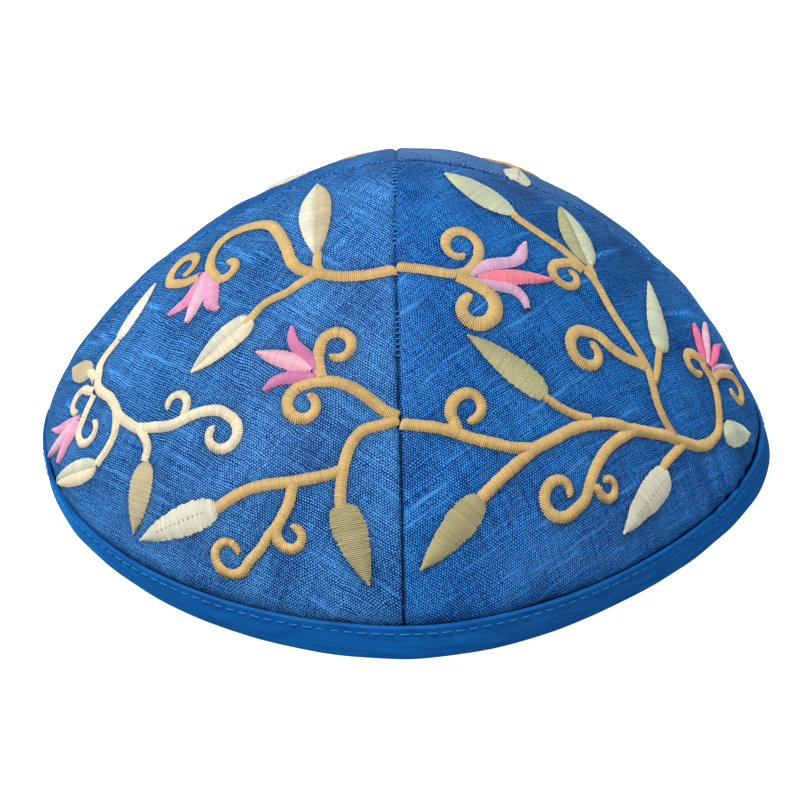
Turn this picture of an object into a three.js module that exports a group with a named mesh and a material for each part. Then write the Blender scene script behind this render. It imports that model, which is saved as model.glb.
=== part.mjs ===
// A four-panel cloth skullcap: four gores of silk sewn along four seams that meet at the crown,
// and a narrow binding folded round the rim. Millimetres, +Z up, the rim on Z = 0.
// The front seam faces -Y, the right seam +X. Azimuth 0 is the front, 90 degrees the right.
import * as THREE from 'three';
import { mergeVertices } from 'three/addons/utils/BufferGeometryUtils.js';

// Overall sizes
const RIM_RADIUS = 84;
const DOME_HEIGHT = 71.5;

// Cloth and the room between pieces
const PANEL_CLOTH = 1.2;
const BINDING_CLOTH = 1.0;
const BINDING_WIDTH = 7.3;
const BINDING_TURN_IN = 6.4;
const CLEARANCE = 0.3;
const SEAM_GAP = 0.3;

// How far above and below the binding's top fold the panels ease inwards to go under it
const PINCH_REACH = 3;

// Curve of the dome from rim to crown: 2 would be an ellipse, 1 a straight cone
const PROFILE_POWER = 1.53;
// Extra fullness of every panel half-way up, as a share of its radius
const BELLY = 0.041;
// Share of the height, up from the rim, over which a seam's tuck fades out
const TUCK_REACH = 0.25;

// A row for each seam: its reach at the rim as a share of RIM_RADIUS, and how far the rim
// tucks in there (a minus value flares out), as a share of that reach
const SEAMS = [
  { name: 'front', reach: 1.0, tuck: 0.0 },
  { name: 'right', reach: 1.004, tuck: -0.02 },
  { name: 'back', reach: 1.0, tuck: 0.0 },
  { name: 'left', reach: 1.025, tuck: 0.037 },
];

// A row for each panel, from the seam of the same row to the next one: how much fuller it is
// half-way between its seams, at the rim and at the crown, as shares of the radius there
const PANELS = [
  { name: 'panel_front_right', rimFullness: -0.075, crownFullness: -0.09 },
  { name: 'panel_back_right', rimFullness: -0.011, crownFullness: 0.028 },
  { name: 'panel_back_left', rimFullness: -0.08, crownFullness: -0.11 },
  { name: 'panel_front_left', rimFullness: -0.026, crownFullness: -0.008 },
];

// How finely the cloth is faceted
const STEPS_ACROSS_PANEL = 18;
const STEPS_UP_PANEL = 15;

const QUARTER = Math.PI / 2;
// Exponent that makes the fullness of a panel start softly at its seams
const FULLNESS_EASE = 1.5;
// Step of the angles used to find a slope
const SLOPE_STEP = 1e-4;
// Points closer than this are one point
const MERGE_DISTANCE = 1e-3;

const silk = new THREE.MeshStandardMaterial({ color: 0x245fae, roughness: 0.6, metalness: 0 });
const binding = new THREE.MeshStandardMaterial({ color: 0x0f66b4, roughness: 0.7, metalness: 0 });

function softStep(from, to, value) {
  const t = THREE.MathUtils.clamp((value - from) / (to - from), 0, 1);
  return t * t * (3 - 2 * t);
}

// The rise angle runs from 0 at the rim to a quarter turn at the crown.
function riseAtHeight(height) {
  return Math.asin((height / DOME_HEIGHT) ** (PROFILE_POWER / 2));
}

function riseAtRadius(radius) {
  return Math.acos((radius / RIM_RADIUS) ** (PROFILE_POWER / 2));
}

// Outer surface of the cap before the binding pinches it
function domePoint(azimuth, rise) {
  const turn = ((azimuth / QUARTER) % 4 + 4) % 4;
  const index = Math.min(Math.floor(turn), 3);
  const across = turn - index;
  const panel = PANELS[index];
  const [near, far] = [SEAMS[index], SEAMS[(index + 1) % 4]];
  const blend = softStep(0, 1, across);
  const reach = THREE.MathUtils.lerp(near.reach, far.reach, blend);
  const tuck = THREE.MathUtils.lerp(near.tuck, far.tuck, blend);

  const radiusShare = Math.cos(rise) ** (2 / PROFILE_POWER);
  const up = Math.sin(rise) ** (2 / PROFILE_POWER);
  const fullness = THREE.MathUtils.lerp(panel.rimFullness, panel.crownFullness, up)
    + BELLY * 4 * up * (1 - up);
  const low = Math.max(1 - up / TUCK_REACH, 0) ** 2;
  const radius = RIM_RADIUS * radiusShare
    * (1 + fullness * Math.sin(Math.PI * across) ** FULLNESS_EASE)
    * (1 + (reach - 1) * (1 - up))
    * (1 - tuck * low);
  return new THREE.Vector3(radius * Math.sin(azimuth), -radius * Math.cos(azimuth), DOME_HEIGHT * up);
}

function domeNormal(azimuth, rise) {
  const along = domePoint(azimuth + SLOPE_STEP, rise).sub(domePoint(azimuth - SLOPE_STEP, rise));
  const upward = domePoint(azimuth, rise + SLOPE_STEP).sub(domePoint(azimuth, Math.max(rise - SLOPE_STEP, 0)));
  return along.cross(upward).normalize();
}

// How far the binding has pressed the panels inwards at a height
function pinchDepth(height) {
  const open = softStep(BINDING_WIDTH - PINCH_REACH, BINDING_WIDTH + PINCH_REACH, height);
  return (CLEARANCE + BINDING_CLOTH) * (1 - open);
}

// A point at a depth under the panels' outer surface; a minus depth stands proud of it
function clothPoint(azimuth, rise, depth) {
  const point = domePoint(azimuth, rise);
  return point.addScaledVector(domeNormal(azimuth, rise), -(depth + pinchDepth(point.z)));
}

// The same, moved sideways only, so that it stays at its height over the surface the cap stands on
function levelPoint(azimuth, height, depth) {
  const rise = riseAtHeight(height);
  const normal = domeNormal(azimuth, rise);
  const sideways = new THREE.Vector3(normal.x, normal.y, 0).divideScalar(normal.x ** 2 + normal.y ** 2);
  return domePoint(azimuth, rise).addScaledVector(sideways, -(depth + pinchDepth(height)));
}

// Closed body from section rings, one after the other. Points that lie together are merged, and a
// triangle that this closes up is left out, so a ring may end in a point that others share.
function bodyFromRings(rings, closedLoop) {
  const count = rings[0].length;
  const triangles = [];
  const steps = closedLoop ? rings.length : rings.length - 1;
  for (let i = 0; i < steps; i += 1) {
    const here = i * count;
    const next = ((i + 1) % rings.length) * count;
    for (let j = 0; j < count; j += 1) {
      const k = (j + 1) % count;
      triangles.push([here + j, next + j, next + k], [here + j, next + k, here + k]);
    }
  }
  if (!closedLoop) {
    // An open body's section is an outer line and back along an inner one, so its ends are strips
    const last = (rings.length - 1) * count;
    for (let j = 0; j < count / 2 - 1; j += 1) {
      const [a, b, c, d] = [j, j + 1, count - 2 - j, count - 1 - j];
      triangles.push([a, b, c], [a, c, d]);
      triangles.push([last + a, last + c, last + b], [last + a, last + d, last + c]);
    }
  }
  const loose = new THREE.BufferGeometry();
  const position = rings.flat().flatMap((point) => point.toArray());
  loose.setAttribute('position', new THREE.Float32BufferAttribute(position, 3));
  loose.setIndex(triangles.flat());
  const merged = mergeVertices(loose, MERGE_DISTANCE);
  const kept = [];
  for (let t = 0; t < merged.index.count; t += 3) {
    const corners = [0, 1, 2].map((i) => merged.index.getX(t + i));
    if (new Set(corners).size === 3) kept.push(...corners);
  }
  merged.setIndex(kept);
  return merged;
}

// Rise angles of a panel's rows: three in the pinch round the binding's top fold, then even steps
function panelRises() {
  const pinchHeights = [BINDING_WIDTH - PINCH_REACH, BINDING_WIDTH, BINDING_WIDTH + PINCH_REACH];
  const rises = pinchHeights.map(riseAtHeight);
  const start = riseAtHeight(BINDING_WIDTH + PINCH_REACH);
  const end = riseAtRadius(SEAM_GAP * Math.SQRT1_2);
  for (let i = 1; i <= STEPS_UP_PANEL; i += 1) {
    rises.push(THREE.MathUtils.lerp(start, end, i / STEPS_UP_PANEL));
  }
  return rises;
}

// One gore: an outer and an inner face, cut half a seam gap short of both seams up to its tip
function makePanel(index) {
  const rises = panelRises();
  const hem = BINDING_CLOTH + CLEARANCE;
  const seams = [index * QUARTER, (index + 1) * QUARTER];
  // Azimuth at a share of the way across, kept clear of the seams; the tip row has no width left
  const azimuthAt = (rise, share) => {
    const seamPoint = domePoint(seams[0], rise);
    const clear = Math.min(SEAM_GAP / 2 / Math.hypot(seamPoint.x, seamPoint.y), Math.SQRT1_2);
    const margin = Math.asin(clear);
    return THREE.MathUtils.lerp(seams[0] + margin, seams[1] - margin, share);
  };
  const rings = [];
  for (let i = 0; i <= STEPS_ACROSS_PANEL; i += 1) {
    const share = i / STEPS_ACROSS_PANEL;
    const line = (depth) => [
      levelPoint(azimuthAt(riseAtHeight(hem), share), hem, depth),
      ...rises.map((rise) => clothPoint(azimuthAt(rise, share), rise, depth)),
    ];
    rings.push([...line(0), ...line(PANEL_CLOTH).reverse()]);
  }
  return bodyFromRings(rings, false);
}

// The binding: an outer leg, a flat bottom that the cap stands on, and an inner leg turned up inside
function makeBinding() {
  const outerDepth = -(CLEARANCE + BINDING_CLOTH);
  const innerDepth = PANEL_CLOTH + CLEARANCE;
  const bend = BINDING_WIDTH - PINCH_REACH;
  // The section, as heights and depths, once round from the outer bottom edge
  const section = [
    [0, outerDepth],
    [bend, outerDepth],
    [BINDING_WIDTH, outerDepth],
    [BINDING_WIDTH, -CLEARANCE],
    [bend, -CLEARANCE],
    [BINDING_CLOTH, -CLEARANCE],
    [BINDING_CLOTH, innerDepth],
    [bend, innerDepth],
    [BINDING_TURN_IN, innerDepth],
    [BINDING_TURN_IN, innerDepth + BINDING_CLOTH],
    [bend, innerDepth + BINDING_CLOTH],
    [0, innerDepth + BINDING_CLOTH],
  ];
  const steps = STEPS_ACROSS_PANEL * SEAMS.length;
  const rings = Array.from({ length: steps }, (_, i) => {
    const azimuth = (i / steps) * SEAMS.length * QUARTER;
    return section.map(([height, depth]) => levelPoint(azimuth, height, depth));
  });
  return bodyFromRings(rings, true);
}

const cap = new THREE.Group();
PANELS.forEach((panel, index) => {
  const mesh = new THREE.Mesh(makePanel(index), silk);
  mesh.name = panel.name;
  cap.add(mesh);
});
const rimBinding = new THREE.Mesh(makeBinding(), binding);
rimBinding.name = 'rim_binding';
cap.add(rimBinding);

// The origin is the middle of the rim's outline, on the surface that the cap stands on.
const outline = new THREE.Box3().setFromObject(cap);
const middle = outline.getCenter(new THREE.Vector3());
cap.position.set(-middle.x, -middle.y, 0);

export default cap;
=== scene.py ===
"""Looks of a four-gore embroidered silk skullcap, laid out as a Blender add-on and run as a script."""

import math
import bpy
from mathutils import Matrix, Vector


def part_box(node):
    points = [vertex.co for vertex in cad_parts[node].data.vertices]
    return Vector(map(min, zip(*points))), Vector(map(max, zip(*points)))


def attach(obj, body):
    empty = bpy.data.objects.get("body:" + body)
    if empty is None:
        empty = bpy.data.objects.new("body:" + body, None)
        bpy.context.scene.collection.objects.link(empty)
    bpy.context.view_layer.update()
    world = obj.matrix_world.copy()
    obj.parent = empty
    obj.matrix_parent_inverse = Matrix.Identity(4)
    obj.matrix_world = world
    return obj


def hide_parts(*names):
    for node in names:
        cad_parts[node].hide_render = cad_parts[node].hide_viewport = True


bl_info = {
    "name": "Embroidered Silk Skullcap",
    "version": (1, 0, 0),
    "blender": (4, 5, 0),
    "location": "View3D > Sidebar > Skullcap",
    "description": "Silk gores, folded binding and satin-stitched scrolls over a packed CAD cap",
    "category": "Object",
}

import bpy
import numpy as np
from bpy.props import FloatProperty, FloatVectorProperty, IntProperty, PointerProperty

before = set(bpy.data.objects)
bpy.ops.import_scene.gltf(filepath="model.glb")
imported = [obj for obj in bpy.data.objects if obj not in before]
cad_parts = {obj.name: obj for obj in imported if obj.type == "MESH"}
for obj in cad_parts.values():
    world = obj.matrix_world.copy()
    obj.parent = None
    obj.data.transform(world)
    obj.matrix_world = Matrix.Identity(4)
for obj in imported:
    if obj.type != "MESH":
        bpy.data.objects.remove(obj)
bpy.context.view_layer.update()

# Lengths below are in millimetres and become metres when a mesh is made.
MM = 0.001
QUARTER = math.pi / 2
BODY = "root"
SEED = 11

# Shares and clearances of the CAD cap
SEAM_GAP = 0.3
PANEL_CLOTH = 1.2
BINDING_CLOTH = 1.0
BINDING_WIDTH = 7.3
BINDING_TURN_IN = 6.4
CLEARANCE = 0.3
PINCH_REACH = 3.0
PROFILE_POWER = 1.53
BELLY = 0.041
TUCK_REACH = 0.25
# A value for each seam, front, right, back, left and front again
SEAM_REACH = np.array([1.0, 1.004, 1.0, 1.025, 1.0])
SEAM_TUCK = np.array([0.0, -0.02, 0.0, 0.037, 0.0])
# A value for each gore, front right, back right, back left, front left
RIM_FULLNESS = np.array([-0.075, -0.011, -0.08, -0.026])
CROWN_FULLNESS = np.array([-0.09, 0.028, -0.11, -0.008])
FULLNESS_EASE = 1.5

# The cap's own sizes, from the frame
GORES = ("front_right", "back_right", "back_left", "front_left")
BINDING_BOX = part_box("rim_binding")
RIM_RADIUS = (BINDING_BOX[1].y - BINDING_BOX[0].y) / 2 / MM
DOME_HEIGHT = max(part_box("panel_" + gore)[1].z for gore in GORES) / MM
AXIS_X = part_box("panel_front_right")[0].x / MM - SEAM_GAP / 2

# Where the sewn seam strays to the side of the straight one: rise angle and millimetres
SEAM_STRAY_RISE = (0.15, 0.52, 0.68, 0.75, 1.0, 1.08, 1.14, 1.57)
SEAM_STRAY = (0.0, -0.45, -0.8, -1.05, -1.5, -1.7, -1.95, -1.95)
# How far back the side seams are sewn from the straight one, in millimetres, right and left
SIDE_DRIFT_RISE = (0.15, 0.5, 0.78, 1.0, 1.2, 1.4, 1.57)
RIGHT_DRIFT = (0.0, 9.0, 12.0, 10.0, 6.0, 2.2, 0.0)
LEFT_DRIFT = (0.0, 3.0, 4.0, 3.4, 2.4, 1.0, 0.0)
# Sine of the angle from the front, from where that drift sets in to where it is whole
DRIFT_FROM, DRIFT_WHOLE = 0.5, 0.9
# The groove along a seam, and the share of it that is filled near the crown
GROOVE_DEPTH = 0.95
GROOVE_HALF_WIDTH = 0.55
GROOVE_FILLED = 0.75
# Soft unevenness of the silk: how many waves, their height, and the shortest and longest of them
UNEVEN_WAVES = 7
UNEVEN_HEIGHT = 0.085
UNEVEN_LENGTHS = (11, 34)
# Waves along the binding and their height
BINDING_WAVES = 5
BINDING_WAVE_HEIGHT = 0.035
BINDING_STEPS = 432

# How much painted shade darkens the silk and how far it reaches: beside stitches, in a seam, by the
# binding
STITCH_SHADE, STITCH_SHADE_REACH = 0.42, 0.8
SEAM_SHADE, SEAM_SHADE_REACH = 0.75, 0.38
BINDING_SHADE, BINDING_SHADE_REACH = 0.70, 0.7
# How much less painted shade a seam has near the crown
SEAM_SHADE_LOST = 0.35

# Sewing stitches: their spacing, the radius of the thread and how much their lengths differ
TOPSTITCH = (2.8, 0.10, 0.15)
SEAM_STITCH = (1.15, 0.16, 0.5)
NEEDLE_HOLE = (1.1, 0.14, 0.4)
# Distance of the binding's line of stitches below its top fold
TOPSTITCH_BELOW_FOLD = 1.5
# The stretches of seam where stitches show: seam, first and last rise angle
SEAM_STITCHES = ((0, 1.34, 1.53), (0, 1.16, 1.24), (0, 0.86, 0.97), (1, 1.1, 1.5), (3, 1.1, 1.5))
# Needle holes run up the middle of every ivory leaf wider than this, at this height over the silk,
# from one share of the leaf's length to another; short khaki threads paint the shade in them
HOLED_LEAF_WIDTH = 6.5
HOLE_LIFT = 0.98
HOLES_FROM, HOLES_TO = 0.16, 0.72
HOLE_POINTS = 30

# Camera, read off the photograph
CAMERA_AIM = (-2.04, 0.0, 11.42)
CAMERA_DISTANCE = 462.0
CAMERA_ELEVATION = 30.0
CAMERA_LENS = 89.3

# Light: a lamp high on the left, a weak low one on each side, one behind and a dim bluish room.
# A row is a name, a place, a size and watts.
LAMPS = (("key", (-540, -330, 1310), 260, 22), ("window", (-1100, -500, 300), 600, 8),
         ("fill", (1000, -650, 240), 600, 9), ("rear", (150, 1300, 340), 700, 2.5))
ROOM_COLOUR = (0.72, 0.86, 1.0, 1.0)
ROOM_STRENGTH = 0.12
FLOOR_GLOW = 1.0

# Thread colours
GOLD = "C8A86E"
CREAM = "DDD0B4"
IVORY = "CFCCB7"
WHITE = "D9DAD1"
BEIGE = "B8AA88"
SAGE = "C6CCB0"
OLIVE = "AEAA80"
KHAKI = "A69B70"
LAVENDER = "CFA6C4"
MAUVE = "C97AA6"
ROSE = "DC98B8"
PALE_PINK = "E6B6C2"
BLUSH = "E0B2C4"
AZURE = "3484CC"
CORAL = "EA8292"
DEEP_PINK = "E5709A"
PINK = "E089AE"

# The chart of the embroidery, in millimetres on a gore laid flat: x across from its middle line,
# y up from the middle of its rim. A scroll is thread, width, points, and a curl as
# centre x and y, first and last radius, start angle and sweep, anticlockwise.
LEFT_SCROLLS = (
    (GOLD, 2.7, ((23.6, 94.2), (22.3, 92.4), (19.9, 88.6), (16.6, 84.8), (12.6, 81.9), (8.0, 80.2),
                 (4.0, 79.3), (0.3, 80.2), (-3.2, 82.4), (-7.2, 84.4), (-11.5, 86.0), (-15.5, 85.9),
                 (-19.5, 84.1), (-22.4, 81.5), (-23.2, 78.8), (-22.3, 75.8), (-20.6, 73.4),
                 (-18.0, 71.4)), (-13.6, 72.8, 2.8, 2.0, -120, 245)),
    (GOLD, 2.6, ((-20.2, 69.2), (-23.5, 66.9)), (-28.4, 70.3, 4.3, 3.0, -70, -325)),
    (GOLD, 2.0, ((8.0, 81.0), (6.2, 82.2), (4.5, 84.3)), None),
    (GOLD, 2.1, ((8.2, 79.8), (6.5, 76.6), (5.5, 73.5), (3.6, 71.0), (2.4, 68.6), (2.2, 65.5),
                 (2.2, 63.8)), None),
    (GOLD, 2.6, ((46.2, 64.8), (44.3, 64.3), (41.4, 63.9), (38.8, 63.1), (34.6, 63.4), (30.9, 63.4),
                 (27.3, 62.6), (24.9, 61.3), (23.0, 59.9), (21.2, 57.8)),
     (24.1, 55.3, 3.7, 1.9, 139, 320)),
    (GOLD, 2.5, ((23.8, 61.8), (21.2, 64.4)), (22.7, 68.8, 3.5, 2.2, 205, -295)),
    (GOLD, 2.4, ((42.0, 63.9), (39.7, 60.4), (37.3, 57.6), (36.6, 54.7), (36.8, 52.1), (37.6, 49.2),
                 (38.9, 45.9), (40.4, 42.7), (41.2, 41.4)), None),
    (GOLD, 2.5, ((37.6, 47.5), (36.3, 45.9), (34.2, 43.8), (31.9, 41.7), (29.3, 39.6), (26.1, 37.3),
                 (23.0, 34.4), (20.7, 31.3), (18.8, 28.1)), None),
    (GOLD, 2.4, ((31.0, 40.0), (31.3, 38.6), (31.9, 36.5), (31.9, 32.8)),
     (35.0, 30.9, 3.1, 1.7, 180, 290)),
    (GOLD, 2.2, ((31.9, 32.8), (31.5, 30.0), (31.1, 28.7), (30.7, 25.5), (29.5, 21.9)),
     (25.2, 20.6, 4.0, 2.0, 0, -320)),
    (CREAM, 2.5, ((-32.8, 49.5), (-33.4, 45.3), (-32.6, 42.7), (-30.5, 40.6), (-28.4, 38.3),
                  (-25.3, 37.5), (-22.2, 37.3), (-18.5, 36.0), (-15.4, 34.7), (-11.75, 34.4),
                  (-8.1, 34.4), (-4.5, 36.0), (0.0, 38.3), (3.2, 41.7), (5.8, 44.0), (8.9, 45.6)),
     (11.9, 41.7, 3.9, 2.1, 95, -290)),
    (CREAM, 2.2, ((2.2, 40.2),), (-1.6, 42.2, 2.8, 1.9, 20, 205)),
    (CREAM, 2.2, ((-8.0, 34.4), (-5.5, 33.6), (-2.9, 31.8), (-2.1, 29.2)), None),
    (CREAM, 2.3, ((-18.0, 35.6), (-15.9, 33.6), (-14.1, 30.8), (-14.1, 27.1), (-15.4, 23.5)), None),
    (CREAM, 2.3, ((-36.4, 40.4), (-33.6, 40.2), (-31.0, 39.2)), None),
    (CREAM, 2.2, ((-29.0, 37.0), (-32.0, 36.4)), (-33.0, 33.3, 3.3, 2.4, 70, 225)),
    (CREAM, 2.2, ((-28.2, 36.0), (-28.3, 33.0)), (-24.2, 29.0, 3.7, 2.2, 175, 262)),
)
RIGHT_SCROLLS = (
    (GOLD, 2.5, ((-25.6, 96.4), (-23.0, 93.0), (-19.7, 88.7), (-17.1, 85.5), (-14.7, 83.2),
                 (-12.4, 82.2), (-9.8, 82.4), (-7.2, 83.5)), (-9.0, 87.9, 4.6, 2.3, -60, 315)),
    (GOLD, 3.4, ((-14.5, 82.5), (-13.7, 80.9), (-12.7, 78.3), (-11.6, 75.6)),
     (-16.2, 74.4, 4.6, 2.6, 15, -300)),
    (GOLD, 2.3, ((10.2, 90.0), (10.1, 88.7), (11.1, 85.5), (12.7, 81.9), (14.8, 78.3), (15.8, 75.1),
                 (16.4, 72.0), (16.9, 68.9), (16.6, 65.8), (15.8, 62.1), (15.4, 57.8), (15.4, 53.7),
                 (15.4, 49.5), (15.2, 45.3), (13.9, 41.2), (12.6, 37.5), (12.3, 33.9),
                 (12.6, 31.3), (12.9, 29.6)), None),
    (GOLD, 2.4, ((15.6, 71.5), (14.3, 73.6), (12.2, 74.3)), (10.2, 71.0, 3.6, 1.9, 60, 330)),
    (GOLD, 1.9, ((16.8, 68.0), (17.9, 69.4), (19.0, 72.0)), None),
    (GOLD, 2.8, ((14.6, 46.0), (13.6, 46.9), (11.0, 49.0), (8.9, 52.1), (7.4, 55.8)),
     (1.9, 54.0, 4.6, 2.2, 60, 330)),
    (GOLD, 2.0, ((15.0, 42.0), (17.5, 43.8), (19.8, 46.0), (22.3, 48.3)), None),
    (GOLD, 2.6, ((-46.6, 67.7), (-43.9, 64.3), (-41.4, 61.5), (-38.8, 58.9), (-36.2, 55.8),
                 (-33.6, 52.1), (-30.5, 48.5), (-27.4, 45.3), (-23.2, 42.5)), None),
    (GOLD, 2.7, ((-38.3, 40.6), (-36.8, 40.9), (-32.6, 41.7), (-27.4, 42.2), (-23.2, 42.5),
                 (-18.5, 41.9), (-13.3, 41.4), (-9.1, 40.4), (-5.5, 39.1), (-1.9, 37.2),
                 (0.6, 35.2), (3.2, 33.9), (6.9, 32.0), (10.5, 30.2), (13.6, 28.1), (16.8, 26.3),
                 (19.9, 25.0), (23.0, 24.5), (26.1, 24.9), (29.3, 26.6), (31.9, 29.2), (33.9, 31.8),
                 (35.8, 34.9), (36.8, 38.6)), (33.0, 42.6, 3.4, 2.0, -15, 300)),
    (GOLD, 2.6, ((-35.5, 55.0),), (-31.1, 57.6, 3.8, 2.3, 190, -315)),
    (GOLD, 2.0, ((-14.9, 50.0), (-12.8, 46.4), (-10.2, 43.3), (-7.6, 41.2)), None),
    (GOLD, 2.6, ((3.0, 34.5), (1.3, 34.4), (-2.9, 34.4), (-7.1, 33.9), (-10.2, 32.8), (-12.8, 31.5),
                 (-15.4, 29.7), (-18.0, 27.4)), (-22.7, 31.2, 4.6, 1.9, -75, -325)),
    (GOLD, 2.2, ((-14.9, 28.7), (-13.8, 27.6)), (-11.2, 26.9, 2.6, 1.5, 170, 300)),
    (GOLD, 2.3, ((14.1, 26.6), (10.5, 25.8), (7.4, 25.0), (5.3, 24.0)), None),
    (GOLD, 2.6, ((37.6, 38.2), (41.2, 39.4), (44.9, 39.0)), (46.2, 34.8, 3.9, 3.0, 80, -260)),
)
# A leaf is the thread of its left and right half seen from the base, the base, the tip, the width
# and how far up it is fullest.
LEFT_LEAVES = (
    (IVORY, BEIGE, (4.9, 83.6), (-12.2, 100.8), 7.4, 0.50),
    (CREAM, IVORY, (2.3, 64.8), (-2.8, 49.8), 6.9, 0.28),
    (KHAKI, KHAKI, (41.3, 41.8), (52.4, 30.4), 7.2, 0.24),
    (IVORY, IVORY, (18.9, 28.2), (3.7, 13.2), 6.8, 0.30),
    (CREAM, IVORY, (-15.6, 22.6), (-33.3, 13.2), 6.0, 0.32),
    (BEIGE, BEIGE, (-1.2, 29.3), (1.4, 13.8), 6.5, 0.34),
    (WHITE, WHITE, (-32.9, 49.4), (-35.8, 65.2), 5.7, 0.33),
    (BEIGE, BEIGE, (-34.6, 40.2), (-49.6, 40.0), 5.8, 0.42),
)
RIGHT_LEAVES = (
    (SAGE, SAGE, (10.2, 89.6), (4.5, 107.2), 8.0, 0.42),
    (OLIVE, SAGE, (19.1, 72.2), (26.6, 90.4), 8.4, 0.42),
    (SAGE, SAGE, (22.6, 47.8), (35.3, 65.5), 6.3, 0.28),
    (OLIVE, OLIVE, (-14.6, 50.0), (-21.8, 70.5), 6.4, 0.30),
    (KHAKI, KHAKI, (-38.2, 40.9), (-54.3, 35.2), 6.7, 0.30),
    (IVORY, IVORY, (6.2, 23.0), (-11.5, 16.2), 7.4, 0.28),
    (SAGE, SAGE, (30.8, 25.2), (45.4, 22.9), 6.3, 0.30),
)
# A petal is a thread and points with the petal's width there.
LEFT_PETALS = (
    (PINK, ((-19.2, 70.2, 1.4), (-18.2, 67.5, 3.6), (-17.4, 64.5, 3.9), (-17.6, 62.0, 3.2),
            (-18.6, 60.2, 2.3), (-19.3, 58.6, 0.9))),
    (ROSE, ((-18.0, 70.2, 1.4), (-15.5, 68.9, 3.0), (-13.0, 67.3, 4.0), (-10.8, 65.2, 4.0),
            (-9.0, 64.2, 2.8), (-6.8, 63.9, 1.0))),
    (BLUSH, ((-18.2, 70.0, 1.0), (-16.6, 67.2, 3.2), (-15.0, 64.8, 3.8), (-14.0, 62.5, 3.6),
             (-13.0, 60.5, 2.6), (-12.4, 58.6, 1.2))),
    (MAUVE, ((22.8, 62.4, 1.6), (20.4, 63.3, 2.8), (17.6, 64.0, 3.0), (15.0, 64.6, 2.6),
             (13.2, 65.8, 2.1), (12.0, 67.4, 1.0))),
    (MAUVE, ((22.6, 61.0, 1.6), (19.8, 59.4, 3.0), (17.4, 57.7, 2.8), (15.8, 55.9, 2.3),
             (15.1, 53.6, 1.2))),
    (PALE_PINK, ((21.2, 61.9, 1.4), (18.4, 61.6, 3.7), (15.4, 61.1, 4.0), (12.4, 60.3, 3.2),
                 (10.4, 59.8, 1.9), (9.0, 59.5, 0.8))),
    (ROSE, ((-29.8, 30.4, 1.4), (-32.2, 28.6, 2.6), (-34.8, 27.0, 3.0), (-37.6, 25.6, 2.2),
            (-41.2, 24.8, 0.7))),
    (ROSE, ((-29.2, 29.2, 1.4), (-30.0, 26.4, 3.0), (-31.2, 23.6, 3.0), (-32.0, 21.0, 2.6),
            (-32.8, 18.7, 1.3))),
    (BLUSH, ((-30.6, 29.3, 1.4), (-32.4, 26.4, 2.8), (-34.9, 23.2, 2.7), (-37.4, 20.6, 2.2),
             (-40.0, 18.4, 0.8))),
)
RIGHT_PETALS = (
    (LAVENDER, ((-12.0, 80.8, 1.4), (-9.5, 80.9, 2.9), (-6.5, 80.6, 3.0), (-3.5, 79.4, 3.0),
                (-0.5, 78.4, 2.9), (2.2, 78.8, 2.9), (4.4, 80.2, 2.4), (6.4, 81.6, 0.9))),
    (LAVENDER, ((-12.2, 79.4, 1.4), (-10.4, 77.3, 2.5), (-8.4, 75.4, 2.8), (-6.4, 73.9, 2.8),
                (-5.0, 72.2, 2.8), (-4.6, 70.2, 2.5), (-5.4, 68.0, 1.5))),
    (CORAL, ((-11.0, 79.4, 1.2), (-8.5, 77.9, 3.4), (-5.5, 76.4, 4.1), (-2.5, 75.0, 3.9),
             (0.5, 73.6, 3.2), (3.0, 72.3, 2.1), (5.4, 71.3, 0.8))),
    (DEEP_PINK, ((37.2, 42.8, 1.6), (39.2, 46.4, 3.2), (41.4, 49.8, 3.2), (43.2, 52.6, 1.2))),
    (LAVENDER, ((38.8, 40.7, 1.4), (43.0, 40.7, 2.0), (48.0, 40.4, 1.7), (52.2, 40.3, 0.8))),
    (DEEP_PINK, ((38.6, 41.4, 1.4), (43.4, 43.5, 2.8), (48.0, 45.5, 2.3), (54.2, 46.5, 0.8))),
    (BLUSH, ((38.2, 42.2, 1.6), (42.0, 46.0, 2.9), (46.6, 49.8, 2.8), (51.3, 52.7, 1.2))),
)
# The back gores carry the front ones' charts crosswise, with the strips by the side seams left
# plain but for a sprig, as the photograph shows over the top of the cap.
BACK_RIGHT_SCROLLS = (
    (GOLD, 1.7, ((23.6, 94.2), (22.3, 92.4), (19.9, 88.6), (16.6, 83.0), (12.6, 79.0), (8.0, 76.9),
                 (3.6, 76.9), (0.2, 78.6), (-2.4, 81.2), (-5.0, 84.2)), None),
    (CREAM, 2.5, ((-20.5, 30.0), (-18.0, 32.2), (-15.0, 33.6), (-11.75, 34.4), (-8.1, 34.4),
                  (-4.5, 36.0), (0.0, 38.3), (3.2, 41.7), (5.8, 44.0), (8.9, 45.6)),
     (11.9, 41.7, 3.9, 2.2, 95, -262)),
    *LEFT_SCROLLS[3:10], *LEFT_SCROLLS[11:14],
)
BACK_RIGHT_LEAVES = (
    (IVORY, IVORY, (-5.4, 84.6), (-15.2, 94.8), 6.8, 0.42),
    (WHITE, WHITE, (-20.4, 30.4), (-29.0, 22.6), 4.6, 0.35), *LEFT_LEAVES[1:6],
)
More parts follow.
